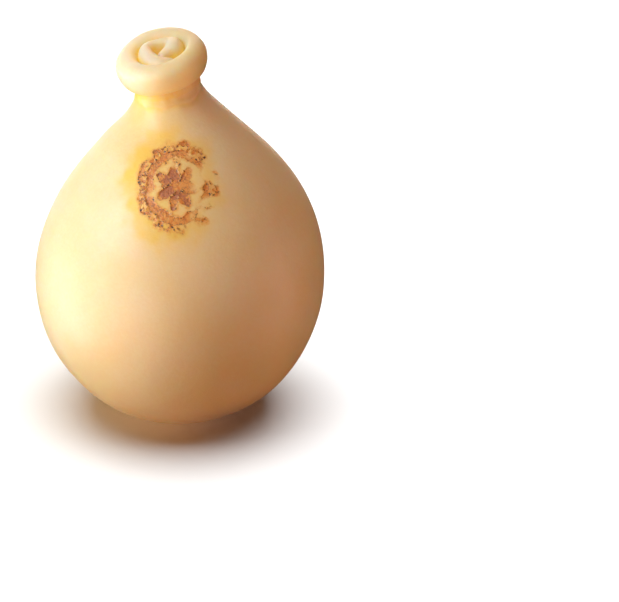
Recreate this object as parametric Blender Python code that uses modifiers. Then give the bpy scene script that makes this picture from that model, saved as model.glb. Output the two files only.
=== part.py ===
"""Caciocavallo silano: a pear of stretched curd with a tied neck and a rolled head.

The cheese is one solid. It is turned from a profile, and the curd's tail is coiled into
the top of the head. The neck then drifts and leans to one side, as it sets while the
cheese hangs from its cord. Metres, +Z up, standing on its small flat foot.
"""

import math

import bpy
import numpy as np

# Body: a turned pear. Rises are measured from the level where the belly is widest.
FOOT_RADIUS = 0.020
BELLY_RADIUS = 0.0725
BELLY_DEPTH = 0.0759
BELLY_HANDLE = 0.0366
SHOULDER_RADIUS = 0.0395
SHOULDER_RISE = 0.0718
SHOULDER_SLOPE = math.radians(42.4)
SHOULDER_HANDLE_ABOVE = 0.0101
SHOULDER_HANDLE_BELOW = 0.0182
NECK_RADIUS = 0.0162
NECK_RISE = 0.1019
NECK_HANDLE = 0.0089

# Head: a thick ring of curd round a well
RING_RISE = 0.0138
RING_RADIUS = 0.0158
RING_OUTER_WIDTH = 0.0066
RING_INNER_WIDTH = 0.0045
RING_HALF_HEIGHT = 0.0101
WELL_DEPTH = 0.0062

# Tail: it parts from the ring at the front and coils round by the left and the back
COIL_START = math.radians(-62)
COIL_SWEEP = math.radians(-375)
COIL_REACH = (0.0118, 0.0086, 0.0026)
COIL_SETTLED = 0.35
COIL_CURLS = 0.62
COIL_THICKNESS = 0.0037
COIL_TIP_THICKNESS = 0.0031
COIL_DROP = 0.0012
FILLET = 0.0009

# Setting: how far the hung cheese is from a true turned shape
BOW = 0.0017
BOW_RISE = 0.0464
BOW_SPREAD = 0.030
NECK_SHIFT = 0.0059
SHIFT_RISE = 0.0635
LEAN = math.radians(13)
TIP = math.radians(4)
LEAN_RISE = 0.070

# Mesh
SIDES = 64
UNDERSIDE_STEPS = 15
BELLY_STEPS = 14
SHOULDER_STEPS = 7
RING_STEPS = 12
WELL_STEP = 0.0012
COIL_SAMPLES = 90
MERGE = 0.0001

BELLY_Z = BELLY_DEPTH * math.sqrt(1 - (FOOT_RADIUS / BELLY_RADIUS) ** 2)
SHOULDER_Z = BELLY_Z + SHOULDER_RISE
NECK_Z = BELLY_Z + NECK_RISE
RING_Z = NECK_Z + RING_RISE
RING_OUTSIDE = RING_RADIUS + RING_OUTER_WIDTH
CREASE_ANGLE = math.acos((NECK_RADIUS - RING_RADIUS) / RING_OUTER_WIDTH)

RIND_COLOUR = (0.86, 0.66, 0.36, 1.0)
RIND_ROUGHNESS = 0.42


def bezier(points, steps):
    """The curve's points after its first, steps of them."""
    t = np.arange(1, steps + 1)[:, None] / steps
    a, b, c, d = (np.array(p) for p in points)
    return (1 - t) ** 3 * a + 3 * (1 - t) ** 2 * t * b + 3 * (1 - t) * t**2 * c + t**3 * d


def smooth(t):
    """0 below 0, 1 above 1, and an even ease between."""
    t = np.clip(t, 0, 1)
    return t * t * (3 - 2 * t)


def filleted_max(a, b):
    """The larger of two heights, with a fillet where they cross."""
    mix = np.clip(0.5 + 0.5 * (a - b) / FILLET, 0, 1)
    return b + (a - b) * mix + FILLET * mix * (1 - mix)


def profile():
    """Radius and height of the turned shape, from the middle of the head to that of the foot."""
    rows = [(r, RING_Z) for r in np.arange(0, RING_RADIUS, WELL_STEP)]

    # Over the ring and round its outer side, as far as the crease above the neck
    for angle in np.linspace(math.pi / 2, -CREASE_ANGLE, RING_STEPS):
        radius = RING_RADIUS + RING_OUTER_WIDTH * math.cos(angle)
        rows.append((radius, RING_Z + RING_HALF_HEIGHT * math.sin(angle)))

    downhill = np.array([math.sin(SHOULDER_SLOPE), -math.cos(SHOULDER_SLOPE)])
    neck = np.array([NECK_RADIUS, NECK_Z])
    shoulder = np.array([SHOULDER_RADIUS, SHOULDER_Z])
    belly = np.array([BELLY_RADIUS, BELLY_Z])
    under_neck = neck - (0, NECK_HANDLE)
    over_shoulder = shoulder - SHOULDER_HANDLE_ABOVE * downhill
    under_shoulder = shoulder + SHOULDER_HANDLE_BELOW * downhill
    over_belly = belly + (0, BELLY_HANDLE)
    rows.append(tuple(neck))
    rows.extend(bezier([neck, under_neck, over_shoulder, shoulder], SHOULDER_STEPS))
    rows.extend(bezier([shoulder, under_shoulder, over_belly, belly], BELLY_STEPS))

    # The underside is a quarter of an ellipse, cut off level at the foot
    foot_angle = math.acos(FOOT_RADIUS / BELLY_RADIUS)
    for angle in np.linspace(0, foot_angle, UNDERSIDE_STEPS + 1)[1:]:
        rows.append((BELLY_RADIUS * math.cos(angle), BELLY_Z - BELLY_DEPTH * math.sin(angle)))
    rows.append((0.0, 0.0))
    return np.array(rows)


def coil_line():
    """The coiled tail seen from above: x, y and half its width along it."""
    t = np.linspace(0, 1, COIL_SAMPLES)
    angle = COIL_START + COIL_SWEEP * t
    start, settled, tip = COIL_REACH
    curl = smooth((t - COIL_CURLS) / (1 - COIL_CURLS))
    reach = start + (settled - start) * smooth(t / COIL_SETTLED) + (tip - settled) * curl
    thick = COIL_THICKNESS + (COIL_TIP_THICKNESS - COIL_THICKNESS) * curl
    return reach * np.cos(angle), reach * np.sin(angle), thick


def head_top(x, y):
    """Height of the head's upper side above the middle of its ring."""
    across = np.hypot(x, y) - RING_RADIUS
    across = across / np.where(across > 0, RING_OUTER_WIDTH, RING_INNER_WIDTH)
    ring = RING_HALF_HEIGHT * np.sqrt(np.clip(1 - across**2, 0, 1))
    cx, cy, thick = coil_line()
    away = np.hypot(x[:, None] - cx, y[:, None] - cy) / thick
    coil = (RING_HALF_HEIGHT - COIL_DROP - thick * away**2).max(axis=1)
    well = filleted_max(coil, np.full_like(coil, RING_HALF_HEIGHT - WELL_DEPTH))
    return np.where(across < 0, filleted_max(ring, well), ring)


def turned(rows):
    """The profile turned about +Z, as a mesh."""
    line = bpy.data.meshes.new("profile")
    edges = [(i, i + 1) for i in range(len(rows) - 1)]
    line.from_pydata([(r, 0, z) for r, z in rows], edges, [])
    guide = bpy.data.objects.new("profile", line)
    guides.objects.link(guide)
    screw = guide.modifiers.new("turn", "SCREW")
    screw.steps = screw.render_steps = SIDES
    screw.use_merge_vertices = True
    screw.merge_threshold = MERGE
    graph = bpy.context.evaluated_depsgraph_get()
    mesh = bpy.data.meshes.new_from_object(guide.evaluated_get(graph))
    bpy.data.objects.remove(guide)
    return mesh


def roll_head(points):
    """Raises the turned head's crown and presses in its well, with the coil inside."""
    reach = np.hypot(points[:, 0], points[:, 1])
    top = (points[:, 2] > RING_Z - MERGE) & (reach < RING_OUTSIDE - MERGE)
    points[top, 2] = RING_Z + head_top(points[top, 0], points[top, 1])


def set_neck(points):
    """Moves each level of the cheese sideways, then tilts the levels from the shoulder up."""
    rise = points[:, 2] - BELLY_Z
    level = np.minimum(rise, NECK_RISE)
    bow = BOW * np.exp(-(((level - BOW_RISE) / BOW_SPREAD) ** 2))
    drift = bow - NECK_SHIFT * smooth((level - SHIFT_RISE) / (NECK_RISE - SHIFT_RISE))
    share = smooth((level - LEAN_RISE) / (NECK_RISE - LEAN_RISE))
    lean, tip = LEAN * share, TIP * share

    # The head keeps its shape, and its height over the neck runs along the leaning axis
    over = rise - level
    x, y = points[:, 0].copy(), points[:, 1].copy()
    upright = level + over * np.cos(lean) * np.cos(tip)
    points[:, 0] = drift + x * np.cos(lean) - over * np.sin(lean)
    points[:, 1] = y * np.cos(tip) - over * np.sin(tip)
    points[:, 2] = BELLY_Z + upright + x * np.sin(lean) + y * np.sin(tip)


def centre_on_box(points):
    """Puts the middle of the outline's box, seen from above, over the origin."""
    points[:, :2] -= (points[:, :2].min(axis=0) + points[:, :2].max(axis=0)) / 2


def rind():
    material = bpy.data.materials.new("rind")
    material.use_nodes = True
    shader = material.node_tree.nodes["Principled BSDF"]
    shader.inputs["Base Color"].default_value = RIND_COLOUR
    shader.inputs["Roughness"].default_value = RIND_ROUGHNESS
    shader.inputs["Metallic"].default_value = 0.0
    return material


for old in list(bpy.data.objects):
    bpy.data.objects.remove(old)

parts = bpy.data.collections.new("caciocavallo silano")
guides = bpy.data.collections.new("guides")
guides.hide_render = True
for collection in (parts, guides):
    bpy.context.scene.collection.children.link(collection)

shape = turned(profile())
place = np.empty(len(shape.vertices) * 3)
shape.vertices.foreach_get("co", place)
place = place.reshape(-1, 3)
roll_head(place)
set_neck(place)
centre_on_box(place)
shape.vertices.foreach_set("co", place.ravel())
shape.name = "cheese"
shape.materials.append(rind())
shape.shade_smooth()
shape.update()

cheese = bpy.data.objects.new("cheese", shape)
parts.objects.link(cheese)
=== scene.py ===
"""A whole caciocavallo silano on a pale floor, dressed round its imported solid.

The cheese is one piece of stretched curd: a pear with a tied neck and a rolled head, a
waxy straw-coloured rind, and a plain burnt mark on its shoulder. Metres, +Z up.
"""

import math

import bpy
import numpy as np
from mathutils import Matrix, Vector, noise


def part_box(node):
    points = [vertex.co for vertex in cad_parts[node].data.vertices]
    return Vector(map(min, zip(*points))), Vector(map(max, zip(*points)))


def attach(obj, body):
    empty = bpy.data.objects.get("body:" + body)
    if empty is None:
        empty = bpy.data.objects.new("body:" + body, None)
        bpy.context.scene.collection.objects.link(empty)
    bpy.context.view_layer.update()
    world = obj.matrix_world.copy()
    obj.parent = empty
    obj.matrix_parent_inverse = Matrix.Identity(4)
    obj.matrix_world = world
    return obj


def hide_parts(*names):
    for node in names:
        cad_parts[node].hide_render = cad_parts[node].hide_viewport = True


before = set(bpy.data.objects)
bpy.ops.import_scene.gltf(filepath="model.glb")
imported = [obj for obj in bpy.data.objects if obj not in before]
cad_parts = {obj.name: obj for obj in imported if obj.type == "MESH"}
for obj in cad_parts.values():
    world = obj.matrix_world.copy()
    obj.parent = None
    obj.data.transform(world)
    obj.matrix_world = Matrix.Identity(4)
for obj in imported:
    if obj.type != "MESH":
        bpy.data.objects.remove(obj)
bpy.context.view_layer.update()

# The cheese. Hot curd is pulled to a ball, drawn out to a neck and tied, and the curd above
# the tie is rolled into a thick ring. It hangs from the tie while it sets, so the body is a
# pear, turned here from its outline. It stands on a small flat spot.
low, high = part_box("cheese")
BELLY_RADIUS = (high.x - low.x) / 2
BELLY_DEPTH = 0.0759
BELLY_HANDLE = 0.0366
FOOT_RADIUS = 0.020
FOOT_FILLET = 0.0008
SHOULDER_RADIUS = 0.0395
SHOULDER_RISE = 0.0718
SHOULDER_SLOPE = math.radians(42.4)
SHOULDER_HANDLE_ABOVE = 0.0101
SHOULDER_HANDLE_BELOW = 0.0182
NECK_RADIUS = 0.0162
NECK_RISE = 0.1019
NECK_HANDLE = 0.0089
RING_RISE = 0.0138
RING_RADIUS = 0.0158
RING_OUTER_WIDTH = 0.0066
RING_HALF_HEIGHT = 0.0101

BELLY_Z = BELLY_DEPTH * math.sqrt(1 - (FOOT_RADIUS / BELLY_RADIUS) ** 2)
NECK_Z = BELLY_Z + NECK_RISE
RING_Z = NECK_Z + RING_RISE
RING_OUTSIDE = RING_RADIUS + RING_OUTER_WIDTH

# Rows are closest on the marked shoulder, then on the neck and the head, and columns are
# closest at the front
OUTLINE_STEPS = 200
MARK_ROW = 0.00042
MARK_LEVELS = (0.116, 0.160)
FINE_ROW = 0.00056
COARSE_ROW = 0.0024
FINE_ABOVE = 0.118
COARSE_BELOW = 0.088
LEVEL_BLEND = 0.006
COLUMNS = 272
CROWDING = 0.58
FRONT = math.radians(270)
MERGE = 1e-6


def smooth(t):
    """0 below 0, 1 above 1, and an even ease between."""
    t = np.clip(t, 0, 1)
    return t * t * (3 - 2 * t)


def filleted_max(a, b, fillet):
    """The larger of two heights, with a fillet where they cross."""
    mix = np.clip(0.5 + 0.5 * (a - b) / fillet, 0, 1)
    return b + (a - b) * mix + fillet * mix * (1 - mix)


def bezier(points):
    """Points of the curve after its first."""
    t = np.arange(1, OUTLINE_STEPS + 1)[:, None] / OUTLINE_STEPS
    a, b, c, d = (np.array(p) for p in points)
    return (1 - t) ** 3 * a + 3 * (1 - t) ** 2 * t * b + 3 * (1 - t) * t**2 * c + t**3 * d


def arc(middle, half, start, end, steps=OUTLINE_STEPS):
    """Part of an ellipse, from its middle and its two half widths."""
    angle = np.linspace(start, end, steps)
    return np.column_stack(
        [middle[0] + half[0] * np.cos(angle), middle[1] + half[1] * np.sin(angle)]
    )


def outline():
    """Radius and height of the turned shape, from the middle of the head to that of the foot."""
    belly = np.array([BELLY_RADIUS, BELLY_Z])
    shoulder = np.array([SHOULDER_RADIUS, BELLY_Z + SHOULDER_RISE])
    downhill = np.array([math.sin(SHOULDER_SLOPE), -math.cos(SHOULDER_SLOPE)])
    neck = np.array([NECK_RADIUS, NECK_Z])
    crease_angle = math.acos((NECK_RADIUS - RING_RADIUS) / RING_OUTER_WIDTH)

    head_middle = np.array([(0, RING_Z + RING_HALF_HEIGHT)])
    ring = arc(
        (RING_RADIUS, RING_Z), (RING_OUTER_WIDTH, RING_HALF_HEIGHT), math.pi / 2, -crease_angle
    )
    upper = bezier([
        neck, neck - (0, NECK_HANDLE), shoulder - SHOULDER_HANDLE_ABOVE * downhill, shoulder
    ])
    lower = bezier([
        shoulder, shoulder + SHOULDER_HANDLE_BELOW * downhill, belly + (0, BELLY_HANDLE), belly
    ])
    underside = arc((0, BELLY_Z), (BELLY_RADIUS, BELLY_DEPTH), 0, -math.pi / 2, 2 * OUTLINE_STEPS)
    underside[:, 1] = filleted_max(underside[:, 1], 0.0, FOOT_FILLET)
    underside[-1, 0] = 0.0
    return np.concatenate([head_middle, ring, upper, lower, underside[1:]])


def spread(line):
    """The line's points set out again, close together where the rows have to be fine."""
    step = np.linalg.norm(np.diff(line, axis=0), axis=1)
    level = (line[1:, 1] + line[:-1, 1]) / 2
    coarse = smooth((FINE_ABOVE - level) / (FINE_ABOVE - COARSE_BELOW))
    marked = smooth((level - MARK_LEVELS[0]) / LEVEL_BLEND)
    marked *= smooth((MARK_LEVELS[1] - level) / LEVEL_BLEND)
    row = FINE_ROW + (COARSE_ROW - FINE_ROW) * coarse - (FINE_ROW - MARK_ROW) * marked
    count = np.concatenate([[0], np.cumsum(step / row)])
    rows = np.linspace(0, count[-1], round(count[-1]) + 1)
    return np.column_stack([np.interp(rows, count, line[:, axis]) for axis in (0, 1)])


def put(tree, kind, inputs=None, **settings):
    """Adds a node, fills its inputs with values or other nodes' outputs, and gives its outputs."""
    node = tree.nodes.new(kind)
    for name, value in settings.items():
        setattr(node, name, value)
    for key, value in (inputs or {}).items():
        if isinstance(value, bpy.types.NodeSocket):
            tree.links.new(value, node.inputs[key])
        else:
            node.inputs[key].default_value = value
    return node.outputs


def sums(tree, operation, *values):
    """One Math node's result."""
    return put(tree, "ShaderNodeMath", dict(enumerate(values)), operation=operation)[0]


def turning_tree():
    """Turns the profile that it is given about +Z, with its columns crowded towards one side."""
    tree = bpy.data.node_groups.new("turn the profile", "GeometryNodeTree")
    for name, kind in (
        ("Profile", "NodeSocketGeometry"), ("Columns", "NodeSocketInt"),
        ("Crowding", "NodeSocketFloat"), ("Front", "NodeSocketFloat"),
        ("Merge Distance", "NodeSocketFloat"), ("Rind", "NodeSocketMaterial"),
    ):
        tree.interface.new_socket(name, in_out="INPUT", socket_type=kind)
    tree.interface.new_socket("Cheese", in_out="OUTPUT", socket_type="NodeSocketGeometry")
    given = tree.nodes.new("NodeGroupInput").outputs

    # A grid with a row for each point of the profile. The half keeps the division from
    # falling just short of a whole row.
    rows = put(
        tree, "GeometryNodeAttributeDomainSize", {"Geometry": given["Profile"]}, component="MESH"
    )["Point Count"]
    across = sums(tree, "ADD", given["Columns"], 1.0)
    grid = put(tree, "GeometryNodeMeshGrid", {"Vertices X": rows, "Vertices Y": across})["Mesh"]
    index = put(tree, "GeometryNodeInputIndex")[0]
    row = sums(tree, "FLOOR", sums(tree, "DIVIDE", sums(tree, "ADD", index, 0.5), across))
    column = sums(tree, "SUBTRACT", index, sums(tree, "MULTIPLY", row, across))

    # An even turn less a sine, so that steps are short round the front and long at the back
    even = sums(tree, "DIVIDE", sums(tree, "MULTIPLY", column, math.tau), given["Columns"])
    from_front = sums(tree, "SINE", sums(tree, "SUBTRACT", even, given["Front"]))
    turn = sums(tree, "SUBTRACT", even, sums(tree, "MULTIPLY", from_front, given["Crowding"]))
    place = put(
        tree, "GeometryNodeSampleIndex",
        {"Geometry": given["Profile"], "Value": put(tree, "GeometryNodeInputPosition")[0],
         "Index": row},
        data_type="FLOAT_VECTOR",
    )[0]
    place = put(tree, "ShaderNodeSeparateXYZ", {0: place})
    turned = put(tree, "ShaderNodeCombineXYZ", {
        "X": sums(tree, "MULTIPLY", place["X"], sums(tree, "COSINE", turn)),
        "Y": sums(tree, "MULTIPLY", place["X"], sums(tree, "SINE", turn)),
        "Z": place["Z"],
    })[0]
    shape = put(tree, "GeometryNodeSetPosition", {"Geometry": grid, "Position": turned})[0]
    shape = put(
        tree, "GeometryNodeMergeByDistance",
        {"Geometry": shape, "Distance": given["Merge Distance"]},
    )[0]
    shape = put(tree, "GeometryNodeSetShadeSmooth", {"Geometry": shape})[0]
    shape = put(tree, "GeometryNodeRealizeInstances", {"Geometry": shape})[0]
    shape = put(
        tree, "GeometryNodeSetMaterial", {"Geometry": shape, "Material": given["Rind"]}
    )[0]
    tree.links.new(shape, tree.nodes.new("NodeGroupOutput").inputs[0])
    return tree


rind = bpy.data.materials.new("waxy rind")
line = spread(outline())
profile = bpy.data.meshes.new("profile")
profile.from_pydata([(r, 0, z) for r, z in line], [(i, i + 1) for i in range(len(line) - 1)], [])
cheese = bpy.data.objects.new("whole_cheese", profile)
bpy.context.scene.collection.objects.link(cheese)
turning = cheese.modifiers.new("turn the profile", "NODES")
turning.node_group = turning_tree()
sockets = {item.name: item.identifier for item in turning.node_group.interface.items_tree}
for name, value in (
    ("Columns", COLUMNS), ("Crowding", CROWDING), ("Front", FRONT),
    ("Merge Distance", MERGE), ("Rind", rind),
):
    turning[sockets[name]] = value
graph = bpy.context.evaluated_depsgraph_get()
skin = bpy.data.meshes.new_from_object(cheese.evaluated_get(graph))
skin.name = "whole_cheese"
cheese.modifiers.clear()
cheese.data = skin
bpy.data.meshes.remove(profile)


# The head. The curd above the tie is rolled into a thick ring. Its tail parts from the ring
# at the front right, runs round inside it by the left and the back, and ends in a knob that
# is tucked in at the right, which leaves a small pit in the middle.
CROWN_HEIGHT = 0.0070
CROWN_SLOPE = 0.12
RING_INNER_WIDTH = 0.0045
WELL_PLACE = (0.0014, -0.0028)
WELL_DEPTH = 0.0062
HEAD_FILLET = 0.0009

# Along the tail: its place from the middle of the ring, its half thickness, and how far it
# stands above the ring's crown
TAIL = (
    (0.0050, -0.0114, 0.0026, -0.0008),
    (0.0012, -0.0110, 0.0040, 0.0000),
    (-0.0026, -0.0086, 0.0050, 0.0004),
    (-0.0054, -0.0046, 0.0044, 0.0007),
    (-0.0066, -0.0004, 0.0036, 0.0007),
    (-0.0062, 0.0030, 0.0032, 0.0007),
    (-0.0032, 0.0058, 0.0026, 0.0003),
    (0.0010, 0.0068, 0.0024, 0.0000),
    (0.0050, 0.0060, 0.0028, 0.0003),
    (0.0071, 0.0036, 0.0041, 0.0009),
    (0.0071, 0.0004, 0.0049, 0.0012),
    (0.0052, -0.0018, 0.0036, 0.0006),
    (0.0022, -0.0044, 0.0030, -0.0005),
)
TAIL_STEPS = 20
TAIL_FLANK = 2.5

# Gold is painted into the head's creases as painted shade, more of it and higher up at the
# left. Each pair is the middle value and what is added at the far right.
HEAD_CREASE_SHADE = (0.82, -0.14)
HEAD_CREASE_SHADE_BELOW = (0.0004, 0.0006)
HEAD_CREASE_SHADE_DEPTH = 0.0026


def points_of(mesh):
    """The mesh's points, one a row."""
    place = np.empty(len(mesh.vertices) * 3)
    mesh.vertices.foreach_get("co", place)
    return place.reshape(-1, 3)


def through(points, steps):
    """A smooth line through the points, with so many steps from each to the next."""
    points = np.array(points)
    points = np.vstack([2 * points[0] - points[1], points, 2 * points[-1] - points[-2]])
    t = np.linspace(0, 1, steps, endpoint=False)[:, None]
    parts = [
        b + (c - a) * t / 2 + (2 * a - 5 * b + 4 * c - d) * t**2 / 2
        + (3 * b - a - 3 * c + d) * t**3 / 2
        for a, b, c, d in zip(points, points[1:], points[2:], points[3:])
    ]
    return np.concatenate([*parts, points[-2:-1]])


def head_top(x, y):
    """Height of the head's upper side above the middle of its ring, and of its crown there."""
    reach = np.hypot(x, y)
    crown = CROWN_HEIGHT + CROWN_SLOPE * y

    # The ring's inner wall stands round the well, which is off the ring's middle
    toward = (WELL_PLACE[0] * x + WELL_PLACE[1] * y) / np.maximum(reach, MERGE)
    off = WELL_PLACE[0] ** 2 + WELL_PLACE[1] ** 2
    wall = toward + np.sqrt((RING_RADIUS - RING_INNER_WIDTH) ** 2 - off + toward**2)
    across = reach - RING_RADIUS
    across = across / np.where(across > 0, RING_OUTER_WIDTH, RING_RADIUS - wall)
    ring = crown * np.sqrt(np.clip(1 - across**2, 0, 1))

    # The tail is round on top, and from there down its flanks have one slope
    tail_x, tail_y, thick, stands = through(TAIL, TAIL_STEPS).T
    apart = np.hypot(x[:, None] - tail_x, y[:, None] - tail_y) / thick
    within = np.minimum(apart, 1)
    fall = (within**2 + within**4) / 2 + TAIL_FLANK * np.maximum(apart - 1, 0)
    tail = crown + (stands - thick * fall).max(axis=1)
    well = filleted_max(tail, crown - WELL_DEPTH, HEAD_FILLET)
    return np.where(across < 0, filleted_max(ring, well, HEAD_FILLET), ring), crown


def by_side(turn, pair):
    """A value that changes evenly from the left of the cheese to its right."""
    return pair[0] + pair[1] * np.cos(turn)


place = points_of(skin)
reach = np.hypot(place[:, 0], place[:, 1])
turn = np.arctan2(place[:, 1], place[:, 0])
top = (place[:, 2] > RING_Z - MERGE) & (reach < RING_OUTSIDE - MERGE)
height, crown = head_top(place[top, 0], place[top, 1])
place[top, 2] = RING_Z + height
inside = reach[top] < RING_RADIUS
# Painted shade: gold in the ring's well, more of it the deeper a point lies below the crown
recess_shade = smooth((crown - by_side(turn[top], HEAD_CREASE_SHADE_BELOW) - height) / HEAD_CREASE_SHADE_DEPTH)
crease = np.zeros(len(place))
crease[top] = inside * by_side(turn[top], HEAD_CREASE_SHADE) * recess_shade


# The neck. The cord went twice round it under the ring and drew the curd in. It left a deep
# crease, a shorter wandering one below it at the front, and faint pleats that run down.
PLEAT_DEPTH = 0.00013
PLEAT_REACH = 0.012
PLEAT_CREEPS_UP = 0.0022
CORD_DEPTH = 0.00050
CORD_DROP = 0.0040
CORD_WIDTH = 0.0010
CORD_WANDER = 0.0012
CORD_LIP = 0.5
CORD_LIP_AWAY = 1.7

# Waves round the neck: how many to a turn, where they start, and their share
PLEATS = ((7, 0.4, 1.0), (13, 2.1, 0.8), (19, 4.0, 0.55))
CORD_WAVES = ((2, 0.6, 0.8), (5, 1.9, 0.4), (9, 0.3, 0.2))

# How hard the lower turn of the cord bit: its middle value, how much more at the front, and
# how far and how often that wavers round the neck
BITE = 0.55
BITE_AT_FRONT = 0.45
BITE_WAVERS = 0.9
BITE_WAVES = 3

# Gold is painted here as shade, as in the head. The lower crease is painted gold over so many
# widths of the cord.
NECK_CREASE_SHADE = (0.36, -0.34)
NECK_CREASE_SHADE_REACH = 0.0055
NECK_CREASE_SHADE_ABOVE = 0.2
NECK_CREASE_SHADE_CREEPS_UP = 0.0075
CORD_CREASE_SHADE = (0.5, -0.4)
CORD_CREASE_SHADE_WIDTHS = 1.8


def waves(turn, table):
    """The sum of a table of waves."""
    return sum(share * np.sin(count * turn + start) for count, start, share in table)


under = place[:, 2] - NECK_Z
fade = smooth(1 + under / PLEAT_REACH) * smooth(1 - under / PLEAT_CREEPS_UP)
from_cord = (under + CORD_DROP - CORD_WANDER * waves(turn, CORD_WAVES)) / CORD_WIDTH
wavers = BITE_WAVERS * np.sin(BITE_WAVES * turn)
bite = BITE + BITE_AT_FRONT * np.sin(turn - FRONT + math.pi / 2 + wavers)
cord = bite * (
    np.exp(-(from_cord**2)) - CORD_LIP * np.exp(-((from_cord - CORD_LIP_AWAY) ** 2))
)
tied = ~top
inward = PLEAT_DEPTH * waves(turn, PLEATS) * fade + CORD_DEPTH * cord
place[tied, :2] *= (1 - inward / np.maximum(reach, NECK_RADIUS))[tied, None]

# Painted shade: gold under the ring, creeping up onto its underside, and along the lower crease
neck_crease_shade = by_side(turn, NECK_CREASE_SHADE)
crease[tied] = np.where(
    under < 0,
    neck_crease_shade * np.exp(-((under / NECK_CREASE_SHADE_REACH) ** 2)),
    (neck_crease_shade + NECK_CREASE_SHADE_ABOVE) * np.exp(-((under / NECK_CREASE_SHADE_CREEPS_UP) ** 2)),
)[tied]
cord_crease_shade = by_side(turn, CORD_CREASE_SHADE) * bite * np.exp(-((from_cord / CORD_CREASE_SHADE_WIDTHS) ** 2))
crease[tied] = np.maximum(crease, cord_crease_shade)[tied]


# The lean. The cheese set hanging a little askew, so its body is bowed, and its neck and head
# lean to the left. Each level moves sideways, and the levels from the shoulder up tilt, while
# the head keeps its shape.
BOW = 0.0017
BOW_RISE = 0.0464
BOW_SPREAD = 0.030
NECK_SHIFT = 0.0059
SHIFT_RISE = 0.0635
LEAN = math.radians(13)
TIP = math.radians(4)
LEAN_RISE = 0.070


def set_points(mesh, place):
    """Moves the mesh's points to these places."""
    mesh.vertices.foreach_set("co", place.ravel())
    mesh.update()


rise = place[:, 2] - BELLY_Z
level = np.minimum(rise, NECK_RISE)
bow = BOW * np.exp(-(((level - BOW_RISE) / BOW_SPREAD) ** 2))
drift = bow - NECK_SHIFT * smooth((level - SHIFT_RISE) / (NECK_RISE - SHIFT_RISE))
share = smooth((level - LEAN_RISE) / (NECK_RISE - LEAN_RISE))
lean, tip = LEAN * share, TIP * share
over = rise - level
x, y = place[:, 0].copy(), place[:, 1].copy()
place[:, 0] = drift + x * np.cos(lean) - over * np.sin(lean)
place[:, 1] = y * np.cos(tip) - over * np.sin(tip)
place[:, 2] = (
    BELLY_Z + level + over * np.cos(lean) * np.cos(tip) + x * np.sin(lean) + y * np.sin(tip)
)
place[:, :2] -= (place[:, :2].min(axis=0) + place[:, :2].max(axis=0)) / 2
set_points(skin, place)


# The unevenness. Kneading by hand and hanging leave long soft swells on the body, and smaller
# dents on the head. The foot stays flat.
SWELL = 0.0005
SWELL_SIZE = 0.045
DENT = 0.00022
DENT_SIZE = 0.011
DENT_FADE = 0.02
FOOT_FADE = 0.012
UNEVEN_SEED = Vector((3.1, 7.7, 1.9))
NOISE_FALL = 1.0
NOISE_STEP = 2.0
NOISE_LAYERS = 2


def normals_of(mesh):
    """Which way the mesh faces at each of its points."""
    facing = np.empty(len(mesh.vertices) * 3)
    mesh.vertex_normals.foreach_get("vector", facing)
    return facing.reshape(-1, 3)


def field(place, size, seed):
    """Seeded noise at each point, about -1 to 1, with features of the given size."""
    return np.array([
        noise.fractal(Vector(p) / size + seed, NOISE_FALL, NOISE_STEP, NOISE_LAYERS)
        for p in place
    ])


facing = normals_of(skin)
dented = smooth((place[:, 2] - NECK_Z) / DENT_FADE + 1)
uneven = SWELL * field(place, SWELL_SIZE, UNEVEN_SEED)
uneven += DENT * field(place, DENT_SIZE, UNEVEN_SEED) * dented
place += facing * (uneven * smooth(place[:, 2] / FOOT_FADE))[:, None]


# The burnt mark. A hot iron was pressed on the shoulder. It is plain ornament: a scalloped
# border with a dot in each scallop, a broad band, and a seven-petalled rosette. The iron's
# edges pushed the curd up into thin lips.
MARK_PLACE = Vector((-0.0012, -0.0439, 0.1398))
MARK_WIDTH = 0.0395
MARK_HEIGHT = 0.0475
LINE_WIDTH = 0.0010
SCALLOPS = 17
SCALLOP_FOOT = 0.82
SCALLOP_RADIUS = 0.0029
DOT_RADIUS = 0.0006
DOT_OUT = 0.0006
BAND_REACH = 0.70
BAND_HALF_WIDTH = 0.0017
BAND_THINS = 0.0007
PETALS = 7
PETAL_MIDDLE = 0.0068
PETAL_HALF_LENGTH = 0.0052
PETAL_HALF_WIDTH = 0.0026
HUB_RADIUS = 0.0030
PRESS_DEPTH = 0.00045
PRESS_EDGE = 0.00035
LIP_HEIGHT = 0.00018
LIP_OUT = 0.00045
LIP_WIDTH = 0.00030

# Its lines wander, and run wider and narrower
MARK_SEED = Vector((11.3, 2.7, 5.2))
WANDER = 0.0014
WANDER_SIZE = 0.0062
WANDER_SEEDS = (MARK_SEED, MARK_SEED + Vector((0, 0, 50)))
BLEED = 0.00085
BLEED_SIZE = 0.0034
BLEED_SEED = MARK_SEED + Vector((60, 0, 0))

# How well the iron took: stronger at the left and inwards, and patchy everywhere. A reach is
# a share of the mark's half width.
TOOK = 0.62
TOOK_AT_LEFT = 0.26
TOOK_INWARD = 0.30
TOOK_REACH = 0.75
PATCHES = 0.75
PATCH_SIZE = 0.0068
PATCH_SEED = MARK_SEED + Vector((-95, 0, 0))
MIDDLE_REACH = 0.62
MIDDLE_BLEND = 0.12

# Fat ran and browned round it, further and more strongly at the left, and less inside it
HALO = 0.76
HALO_AT_LEFT = 0.24
HALO_REACH = 0.95
HALO_REACH_AT_LEFT = 0.16
HALO_FADE = 0.28
HALO_INSIDE = 0.70
HALO_FULL_FROM = 0.55
HALO_FULL_BLEND = 0.35
SPILL = 0.26
SPILL_SIZE = 0.010
SPILL_SEED = MARK_SEED + Vector((40, 0, 0))
OUTER_FADE = 0.01
FAR_FROM_LINES = 0.02
MILLIMETRES = 1000


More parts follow.
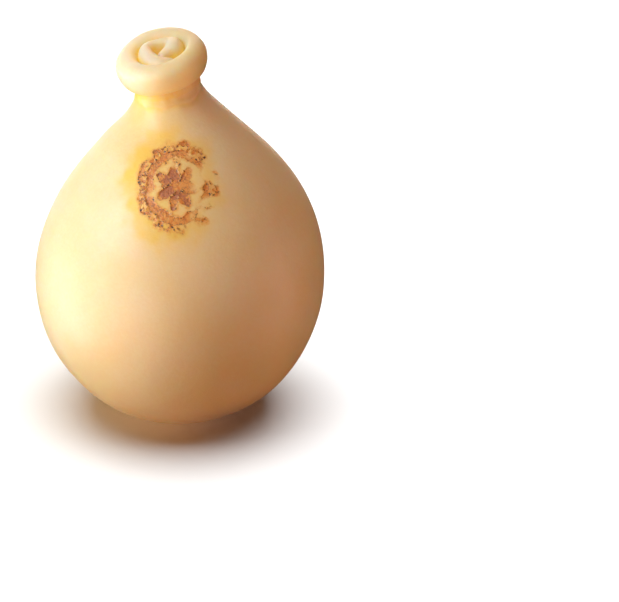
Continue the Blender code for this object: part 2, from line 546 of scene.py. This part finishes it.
def stamp(u, v):
    """How far a point of the stamp's plane lies inside its nearest line, and its reach."""
    wide, tall = MARK_WIDTH / 2, MARK_HEIGHT / 2
    reach = np.hypot(u / wide, v / tall)
    angle = np.arctan2(v / tall, u / wide)
    mean = (wide + tall) / 2
    half_line = LINE_WIDTH / 2

    turns = SCALLOPS * angle / math.tau
    along = (turns - np.round(turns)) * math.tau * mean * SCALLOP_FOOT / SCALLOPS
    up = (reach - SCALLOP_FOOT) * mean
    arch = np.minimum(half_line - np.abs(np.hypot(along, up) - SCALLOP_RADIUS), up + half_line)
    dot = DOT_RADIUS - np.hypot(along, up - DOT_OUT - half_line)
    band = BAND_HALF_WIDTH - BAND_THINS * u / wide - np.abs(reach - BAND_REACH) * mean

    petal = np.round(PETALS * angle / math.tau)
    off = angle - petal * math.tau / PETALS
    ahead, across = reach * mean * np.cos(off) - PETAL_MIDDLE, reach * mean * np.sin(off)
    bow = (PETAL_HALF_LENGTH**2 + PETAL_HALF_WIDTH**2) / (2 * PETAL_HALF_WIDTH)
    leaf = bow - np.hypot(ahead, np.abs(across) + bow - PETAL_HALF_WIDTH)
    hub = HUB_RADIUS - reach * mean
    return np.maximum.reduce([arch, dot, band, leaf, hub]), reach


# The stamp's plane lies on the rind at the mark's place
centre = int(np.linalg.norm(place - MARK_PLACE, axis=1).argmin())
out = Vector(facing[centre])
right = Vector((0, 0, 1)).cross(out).normalized()
tall_way = out.cross(right)
u = (place - place[centre]) @ np.array(right)
v = (place - place[centre]) @ np.array(tall_way)
near = (np.hypot(u, v) < MARK_HEIGHT) & (facing @ np.array(out) > 0)
marked = place[near]
wander_u, wander_v = (WANDER * field(marked, WANDER_SIZE, seed) for seed in WANDER_SEEDS)
inside_line, reach = stamp(u[near] + wander_u, v[near] + wander_v)
inside_line += BLEED * field(marked, BLEED_SIZE, BLEED_SEED)

leftward = np.clip(-u[near] / (MARK_WIDTH / 2), -1, 1)
patchy = field(marked, PATCH_SIZE, PATCH_SEED)
took = TOOK + TOOK_AT_LEFT * leftward + PATCHES * patchy + TOOK_INWARD * (TOOK_REACH - reach)
spill = field(marked, SPILL_SIZE, SPILL_SEED)
past_edge = np.maximum(reach - HALO_REACH - HALO_REACH_AT_LEFT * leftward - SPILL * spill, 0)
halo = np.exp(-((past_edge / HALO_FADE) ** 2)) * (HALO + HALO_AT_LEFT * leftward)
halo *= HALO_INSIDE + (1 - HALO_INSIDE) * smooth((reach - HALO_FULL_FROM) / HALO_FULL_BLEND)
halo *= smooth((MARK_HEIGHT - np.hypot(u, v)[near]) / OUTER_FADE)

marks = {name: np.zeros(len(place)) for name in ("iron", "toasting", "halo", "middle")}
marks["iron"] -= FAR_FROM_LINES
marks["iron"][near] = inside_line
marks["toasting"][near] = np.clip(took, 0, 1)
marks["halo"][near] = halo
marks["middle"][near] = smooth((MIDDLE_REACH - reach) / MIDDLE_BLEND)
lip = np.exp(-(((marks["iron"] + LIP_OUT) / LIP_WIDTH) ** 2))
pressed = PRESS_DEPTH * smooth(marks["iron"] / PRESS_EDGE + 0.5) - LIP_HEIGHT * lip
place -= facing * (pressed * marks["toasting"])[:, None]
set_points(skin, place)

# What the finish reads on the skin, with the distance inside a line in millimetres
marks["iron"] *= MILLIMETRES
marks["crease"] = crease
for name, values in marks.items():
    layer = skin.attributes.new(name, "FLOAT", "POINT")
    layer.data.foreach_set("value", values.astype(np.float32))


# The rind's finish. The curd dries to a smooth waxy rind that light gets a little way into.
# It is pale straw at the head and a deeper yellow lower down, with soft clouds and fine
# flecks, and amber towards the foot. Light and shade are painted on it as well: gold painted
# shade in the creases, painted light on the head's left, the shoulder's right and the knob,
# and painted shade on the head's right and at the foot's right.
RIND_PALE = (0.92, 0.81, 0.61, 1)
RIND_STRAW = (0.89, 0.70, 0.36, 1)
RIND_AMBER = (0.86, 0.52, 0.22, 1)
# Painted shade for the foot's right
PAINTED_FOOT_SHADE = (0.44, 0.33, 0.26, 1)
# Gold painted shade for the creases
PAINTED_CREASE_SHADE = (0.96, 0.72, 0.06, 1)

# Patterns: the size of their features, their detail, and how far along the noise they lie
CLOUDS = (0.028, 3.0)
FLECKS = (0.0016, 2.0)
# Patches that break up the painted crease shade
CREASE_SHADE_PATCHES = (0.0045, 3.0, 0.9)

# Ranges: what is read goes from the first number to the second, and the result from the
# third, or 0, to the fourth, or 1
CLOUD_RANGE = (0.3, 0.7, -0.16, 0.16)
FLECK_RANGE = (0.3, 0.7, -0.08, 0.08)
CREASE_SHADE_PATCH_RANGE = (0.35, 0.62, 0.6, 1.0)
YELLOW_UP_THE_BODY = (0.03, 0.12, 0.90, 0.58)
YELLOW_UP_THE_SHOULDER = (0.135, 0.168, 0.0, 0.30)
# Painted light: the shoulder is made paler at its right, below the neck
SHOULDER_PAINTED_LIGHT_TO_RIGHT = (-0.005, 0.020, 1.0, -1.3)
HEAD_BEGINS = (0.173, 0.181)
# Painted light and shade: the head is paler at its lit left and yellower at its shaded right
HEAD_PAINTED_LIGHT_AND_SHADE = (-0.022, 0.006, 0.05, 0.75)
# Painted highlight: the rind is made paler on the knob
KNOB_PAINTED_HIGHLIGHT = (0.0030, 0.0062, -0.6, 0.0)
# Painted shade: darker towards the foot at the right
FOOT_SHADE_TO_RIGHT = (-0.01, 0.03)
FOOT_SHADE_DOWNWARD = (0.035, 0.008)
DARKER_TO_FOOT = (0.052, 0.0, 0.0, 0.95)
KNOB_PLACE = (-0.0044, -0.0008, 0.1970)

rind.use_nodes = True
tree = rind.node_tree
shader = tree.nodes["Principled BSDF"]
on_piece = put(tree, "ShaderNodeTexCoord")["Object"]


def noise_at(size, detail=2.0, shift=0.0):
    """Noise on the piece's own coordinates, with features of the given size in metres."""
    spot = put(tree, "ShaderNodeMapping", {"Vector": on_piece, "Location": (shift, 0, 0)})[0]
    return put(
        tree, "ShaderNodeTexNoise", {"Vector": spot, "Scale": 1 / size, "Detail": detail}
    )["Fac"]


def ramp(value, start, end, low=0.0, high=1.0):
    """value carried from start..end to low..high with soft ends."""
    return put(
        tree, "ShaderNodeMapRange",
        {"Value": value, "From Min": start, "From Max": end, "To Min": low, "To Max": high},
        interpolation_type="SMOOTHSTEP",
    )["Result"]


def blend(share, a, b):
    """Colour a, turning to colour b as share goes to 1."""
    return put(tree, "ShaderNodeMix", {0: share, 6: a, 7: b}, data_type="RGBA")[2]


def times(*values):
    """The product of the values."""
    product = values[0]
    for value in values[1:]:
        product = sums(tree, "MULTIPLY", product, value)
    return product


def mark_value(name):
    """One of the values kept on the skin."""
    return put(tree, "ShaderNodeAttribute", attribute_name=name)["Fac"]


place_on = put(tree, "ShaderNodeSeparateXYZ", {0: on_piece})
level_up, to_right = place_on["Z"], place_on["X"]
clouds = ramp(noise_at(*CLOUDS), *CLOUD_RANGE)
flecks = ramp(noise_at(*FLECKS), *FLECK_RANGE)
# Yellower across the shoulder at the left, and paler at its right as painted light
shoulder_yellow_and_painted_light = times(ramp(level_up, *YELLOW_UP_THE_SHOULDER), ramp(to_right, *SHOULDER_PAINTED_LIGHT_TO_RIGHT))
on_body = sums(tree, "ADD", ramp(level_up, *YELLOW_UP_THE_BODY), shoulder_yellow_and_painted_light)
# Painted light and shade across the head: paler at the left, yellower at the right
head_painted_light_and_shade = ramp(to_right, *HEAD_PAINTED_LIGHT_AND_SHADE)
# The yellow share, with the painted light and shade of the shoulder, the head and the knob
yellow_and_painted_light = put(
    tree, "ShaderNodeMix", {0: ramp(level_up, *HEAD_BEGINS), 2: on_body, 3: head_painted_light_and_shade}
)[0]
# Painted highlight on the knob
from_knob = put(
    tree, "ShaderNodeVectorMath", {0: on_piece, 1: KNOB_PLACE}, operation="DISTANCE"
)["Value"]
yellow_and_painted_light = sums(tree, "ADD", yellow_and_painted_light, ramp(from_knob, *KNOB_PAINTED_HIGHLIGHT))
straw = sums(tree, "ADD", yellow_and_painted_light, sums(tree, "ADD", clouds, flecks))
colour = blend(straw, RIND_PALE, RIND_STRAW)
# Painted shade at the foot's right, over the amber
foot_shade_share = times(ramp(to_right, *FOOT_SHADE_TO_RIGHT), ramp(level_up, *FOOT_SHADE_DOWNWARD))
near_foot = blend(foot_shade_share, RIND_AMBER, PAINTED_FOOT_SHADE)
colour = blend(ramp(level_up, *DARKER_TO_FOOT), colour, near_foot)
# Painted shade: gold in the creases, broken into patches
crease_shade_patches = ramp(noise_at(*CREASE_SHADE_PATCHES), *CREASE_SHADE_PATCH_RANGE)
crease_shade_share = times(mark_value("crease"), crease_shade_patches)
colour = blend(crease_shade_share, colour, PAINTED_CREASE_SHADE)


# The mark's finish. Fat browned to gold round the mark, and the iron toasted the curd through
# amber to brown, with pale dots of melted fat that are partly painted highlights, scorched
# edges, dark cracks and specks of char.
# Where the iron took less, its lines are thinner.
HALO_GOLD = (0.93, 0.61, 0.07, 1)
AMBER = (0.85, 0.42, 0.09, 1)
# Melted fat, painted pale as its highlights
FAT_AND_PAINTED_HIGHLIGHT = (0.95, 0.76, 0.42, 1)
TOAST = (0.74, 0.25, 0.045, 1)
BROWN = (0.48, 0.15, 0.065, 1)
SCORCH = (0.22, 0.075, 0.04, 1)
CHAR = (0.03, 0.02, 0.015, 1)

# Patterns, as above, and the range of each
HALO_STREAKS = (0.006,)
HALO_STREAK_RANGE = (0.25, 0.7, 0.8, 1.0)
# Dots of melted fat with painted highlight
FAT_HIGHLIGHT_DOTS = (0.0011, 1.0, 0.7)
FAT_HIGHLIGHT_DOT_RANGE = (0.60, 0.68)
MOTTLE = (0.0014, 3.0, 0.6)
MOTTLE_RANGE = (0.42, 0.60)
EDGE_BREAKS = (0.0022, 2.0, 0.2)
EDGE_BREAK_RANGE = (0.50, 0.62)
CRACKS = (0.0024, 2.0, 0.8)
CRACK_RANGE = (0.040, 0.012)
SPECKS = (0.0013, 1.0, 0.4)
SPECK_RANGE = (0.60, 0.65)

# How strongly it burnt: how well the iron took, and patches on top of that
BURN_PATCHES = (0.0032,)
BURN_PATCH_SHARE = 0.5
BURN_RANGE = (0.30, 1.0)
DEEP_PATCHES = (0.0016, 3.0)
DEEP_RANGE = (1.20, 1.50)
DEEP_IN_MIDDLE = (0.0, 1.0, 0.25, 1.0)

# In millimetres: how ragged the lines are, how much thinner a weak one is, and how far
# inside a line each burn starts and is full
RAGGED_EDGE = (0.0012, 3.0)
RAGGED = 2.4
WEAK_LINE_THINS = (0.0, 0.8, 0.35, 0.0)
AMBER_IN = (-2.2, -0.05)
FAT_HIGHLIGHT_IN = (-1.0, -0.4)
TOAST_IN = (-0.14, 0.14)
SCORCH_IN = (-0.32, -0.08)
SCORCH_OUT = (0.30, 0.06)
CRACK_IN = (-0.5, 0.1)
CHAR_IN = (-0.5, -0.2)
CHAR_OUT = (0.7, 0.3)

# How much of each colour covers what lies under it
AMBER_COVER = 0.9
FAT_HIGHLIGHT_COVER = 0.4
MOTTLE_COVER = 0.75
BROWN_COVER = 0.9
SCORCH_COVER = 0.6
CRACK_COVER = 0.5

iron, toasting = mark_value("iron"), mark_value("toasting")
halo = times(mark_value("halo"), ramp(noise_at(*HALO_STREAKS), *HALO_STREAK_RANGE))
colour = blend(halo, colour, HALO_GOLD)

wobble = times(sums(tree, "SUBTRACT", noise_at(*RAGGED_EDGE), 0.5), RAGGED)
burn_patches = times(noise_at(*BURN_PATCHES), BURN_PATCH_SHARE)
burn = ramp(sums(tree, "ADD", toasting, burn_patches), *BURN_RANGE)
thinner = ramp(burn, *WEAK_LINE_THINS)
ragged = sums(tree, "SUBTRACT", sums(tree, "ADD", iron, wobble), thinner)
colour = blend(times(burn, ramp(ragged, *AMBER_IN), AMBER_COVER), colour, AMBER)
# Pale dots of melted fat, painted partly as highlights
fat_highlight = times(ramp(noise_at(*FAT_HIGHLIGHT_DOTS), *FAT_HIGHLIGHT_DOT_RANGE), ramp(ragged, *FAT_HIGHLIGHT_IN), burn)
colour = blend(times(fat_highlight, FAT_HIGHLIGHT_COVER), colour, FAT_AND_PAINTED_HIGHLIGHT)
stroke = times(burn, ramp(ragged, *TOAST_IN))
colour = blend(stroke, colour, TOAST)
mottle = ramp(noise_at(*MOTTLE), *MOTTLE_RANGE)
colour = blend(times(stroke, mottle, MOTTLE_COVER), colour, AMBER)
deep = ramp(sums(tree, "ADD", toasting, noise_at(*DEEP_PATCHES)), *DEEP_RANGE)
deep = times(deep, ramp(mark_value("middle"), *DEEP_IN_MIDDLE))
colour = blend(times(stroke, deep, BROWN_COVER), colour, BROWN)
edge = times(ramp(ragged, *SCORCH_IN), ramp(ragged, *SCORCH_OUT))
broken = ramp(noise_at(*EDGE_BREAKS), *EDGE_BREAK_RANGE)
colour = blend(times(edge, broken, burn, SCORCH_COVER), colour, SCORCH)
crack = sums(tree, "ABSOLUTE", sums(tree, "SUBTRACT", noise_at(*CRACKS), 0.5))
crack = times(ramp(crack, *CRACK_RANGE), ramp(ragged, *CRACK_IN), burn)
colour = blend(times(crack, CRACK_COVER), colour, SCORCH)
speck = ramp(noise_at(*SPECKS), *SPECK_RANGE)
speck = times(speck, ramp(ragged, *CHAR_IN), ramp(ragged, *CHAR_OUT), burn)
colour = blend(speck, colour, CHAR)
tree.links.new(colour, shader.inputs["Base Color"])


# The gloss, the depth and the grain of both. The wax is satin and the burn greasier. No light
# gets into the char, and less of it into the creases and the browned fat. A fine grain and a
# soft ripple cover the rind, and the burn is blistered.
DULL = (0.004, 3.0)
DULL_RANGE = (0.3, 0.7, 0.36, 0.50)
GREASE = -0.14
GREASE_IN = (-1.2, 0.0)
WAX_IOR = 1.45
WAX_COAT = 0.35
WAX_COAT_ROUGHNESS = 0.38
SCATTER_RADIUS = (1.0, 0.65, 0.35)
SCATTER_SCALE = 0.02
STROKE_BLOCKS = 0.85
CREASE_BLOCKS = 0.75
HALO_BLOCKS = 0.6
GRAIN = (0.0012, 3.0)
GRAIN_HEIGHT = 0.00008
RIPPLE = (0.007, 2.0)
RIPPLE_HEIGHT = 0.00020
BLISTERS = (0.0009, 2.0)
BLISTER_HEIGHT = 0.0004
BLISTER_IN = (-0.8, 0.0)

dull = ramp(noise_at(*DULL), *DULL_RANGE)
greasy = times(burn, ramp(ragged, *GREASE_IN), GREASE)
tree.links.new(sums(tree, "ADD", dull, greasy), shader.inputs["Roughness"])
shader.inputs["IOR"].default_value = WAX_IOR
shader.inputs["Coat Weight"].default_value = WAX_COAT
shader.inputs["Coat Roughness"].default_value = WAX_COAT_ROUGHNESS
shader.inputs["Subsurface Radius"].default_value = SCATTER_RADIUS
shader.inputs["Subsurface Scale"].default_value = SCATTER_SCALE
opaque = sums(tree, "MAXIMUM", times(stroke, STROKE_BLOCKS), speck)
# The painted crease shade and the halo let less light in
crease_shade_and_halo = sums(tree, "MAXIMUM", times(crease_shade_share, CREASE_BLOCKS), times(halo, HALO_BLOCKS))
opaque = sums(tree, "MAXIMUM", opaque, crease_shade_and_halo)
tree.links.new(sums(tree, "SUBTRACT", 1.0, opaque), shader.inputs["Subsurface Weight"])

grain = times(noise_at(*GRAIN), GRAIN_HEIGHT)
ripple = times(noise_at(*RIPPLE), RIPPLE_HEIGHT)
blister = times(noise_at(*BLISTERS), burn, ramp(ragged, *BLISTER_IN), BLISTER_HEIGHT)
relief = sums(tree, "ADD", sums(tree, "ADD", grain, ripple), blister)
bump = put(tree, "ShaderNodeBump", {"Height": relief, "Distance": 1.0, "Strength": 1.0})
tree.links.new(bump["Normal"], shader.inputs["Normal"])

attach(cheese, "root")
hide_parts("cheese")


# The floor. A plain pale sheet of acrylic, which lets the low lamps through and gives the
# cheese's underside no light of its own.
FLOOR_HALF = 12.0
FLOOR_COLOUR = (0.86, 0.86, 0.86, 1)
FLOOR_ROUGHNESS = 0.9

bpy.ops.mesh.primitive_plane_add(size=2 * FLOOR_HALF)
floor = bpy.context.object
floor.name = "floor"
floor.visible_diffuse = False
floor.visible_glossy = False
floor.visible_shadow = False
acrylic = bpy.data.materials.new("pale floor")
acrylic.use_nodes = True
acrylic_shader = acrylic.node_tree.nodes["Principled BSDF"]
acrylic_shader.inputs["Base Color"].default_value = FLOOR_COLOUR
acrylic_shader.inputs["Roughness"].default_value = FLOOR_ROUGHNESS
floor.data.materials.append(acrylic)


# The camera. It stands in front of the mark and looks down on the cheese, which is at the left
# of the picture. The belly's middle and the belly's width in the picture set it.
PICTURE = (619, 602)
BELLY_PIXEL = (180.1, 274.4)
BELLY_PIXELS_WIDE = 288
CAMERA_DISTANCE = 1.5
CAMERA_RISE = math.radians(25)
SENSOR_MILLIMETRES = 36.0

pixel = 2 * BELLY_RADIUS / BELLY_PIXELS_WIDE
belly_middle = Vector((0, 0, BELLY_Z))
back = Vector((0, -math.cos(CAMERA_RISE), math.sin(CAMERA_RISE)))
up = Vector((0, math.sin(CAMERA_RISE), math.cos(CAMERA_RISE)))
eye = belly_middle + CAMERA_DISTANCE * back
aim = belly_middle + pixel * (
    (PICTURE[0] / 2 - BELLY_PIXEL[0]) * Vector((1, 0, 0))
    - (PICTURE[1] / 2 - BELLY_PIXEL[1]) * up
)
away = (eye - aim).normalized()
sideways = up.cross(away).normalized()
camera = bpy.data.objects.new("camera", bpy.data.cameras.new("camera"))
camera.data.sensor_width = SENSOR_MILLIMETRES
camera.data.lens = SENSOR_MILLIMETRES * CAMERA_DISTANCE / (PICTURE[0] * pixel)
camera.matrix_world = (
    Matrix.Translation(eye) @ Matrix((sideways, away.cross(sideways), away)).transposed().to_4x4()
)
bpy.context.scene.collection.objects.link(camera)
bpy.context.scene.camera = camera


# The studio light. Soft boxes stand at the left, high and low, with weaker warm ones at the
# right, behind and above, and one over the floor alone. Three narrow spots pick out the head
# and the side of the belly. The room itself is dark.
LAMP_DISTANCE = 1.2
COOL = (0.865, 0.987, 1.0)
WARM = (1.0, 0.454, 0.229)

# Each soft box: name, turn about +Z and rise in degrees, size, colour and power
SOFT_BOXES = (
    ("key", -155, 35, 0.6, (0.905, 1.0, 0.98), 7.4),
    ("low key", -165, -10, 0.9, COOL, 7.5),
    ("left edge", 168, -20, 0.9, COOL, 4.0),
    ("above", -120, 75, 0.9, (1.0, 0.70, 0.55), 4.9),
    ("low at the left", -150, -35, 0.9, WARM, 5.4),
    ("warm fill", -20, -16, 1.2, (1.0, 0.563, 0.375), 6.8),
    ("behind", 90, 50, 0.9, (1.0, 0.68, 0.52), 3.5),
    ("back", 96, 10, 1.2, (1.0, 0.84, 0.68), 6.5),
)
FLOOR_BOX = ("over the floor", 0, 90, 2.4, (1.0, 1.0, 1.0), 100)
FLOOR_BOX_DISTANCE = 2.0

# Each spot: name, what it is aimed at, turn and rise, colour and power
HEAD_MIDDLE = Vector((-0.012, 0, 0.187))
BELLY_SIDE = Vector((0.068, -0.010, 0.052))
SPOTS = (
    ("on the head", HEAD_MIDDLE, -120, -5, COOL, 48),
    ("under the head", HEAD_MIDDLE, -110, -20, WARM, 72),
    ("beside the belly", BELLY_SIDE, -8, -4, (1.0, 0.6, 0.5), 20),
)
SPOT_CONE = math.radians(5.5)
SPOT_EDGE = 1.0
SPOT_RADIUS = 0.1

on_cheese = bpy.data.collections.new("lit cheese")
on_cheese.objects.link(cheese)
on_floor = bpy.data.collections.new("lit floor")
on_floor.objects.link(floor)


def stand_lamp(light, colour, power, aimed_at, turn, rise, distance, receiver):
    """Stands a lamp off a place, faces it there, and lets it light the receiver alone."""
    light.color = colour
    light.energy = power
    lamp = bpy.data.objects.new(light.name, light)
    turn, rise = math.radians(turn), math.radians(rise)
    to_lamp = Vector(
        (math.cos(turn) * math.cos(rise), math.sin(turn) * math.cos(rise), math.sin(rise))
    )
    lamp.location = aimed_at + distance * to_lamp
    lamp.rotation_euler = to_lamp.to_track_quat("Z", "Y").to_euler()
    bpy.context.scene.collection.objects.link(lamp)
    lamp.light_linking.receiver_collection = receiver


def soft_box(name, turn, rise, size, colour, power, distance, receiver):
    """A square lamp aimed at the belly."""
    light = bpy.data.lights.new(name, "AREA")
    light.size = size
    stand_lamp(light, colour, power, belly_middle, turn, rise, distance, receiver)


for soft in SOFT_BOXES:
    soft_box(*soft, LAMP_DISTANCE, on_cheese)
soft_box(*FLOOR_BOX, FLOOR_BOX_DISTANCE, on_floor)
for name, aimed_at, turn, rise, colour, power in SPOTS:
    light = bpy.data.lights.new(name, "SPOT")
    light.spot_size = SPOT_CONE
    light.spot_blend = SPOT_EDGE
    light.shadow_soft_size = SPOT_RADIUS
    stand_lamp(light, colour, power, aimed_at, turn, rise, LAMP_DISTANCE, on_cheese)

world = bpy.data.worlds.new("room")
bpy.context.scene.world = world
world.use_nodes = True
world.node_tree.nodes["Background"].inputs["Strength"].default_value = 0.0

bpy.context.scene.view_settings.view_transform = "Standard"
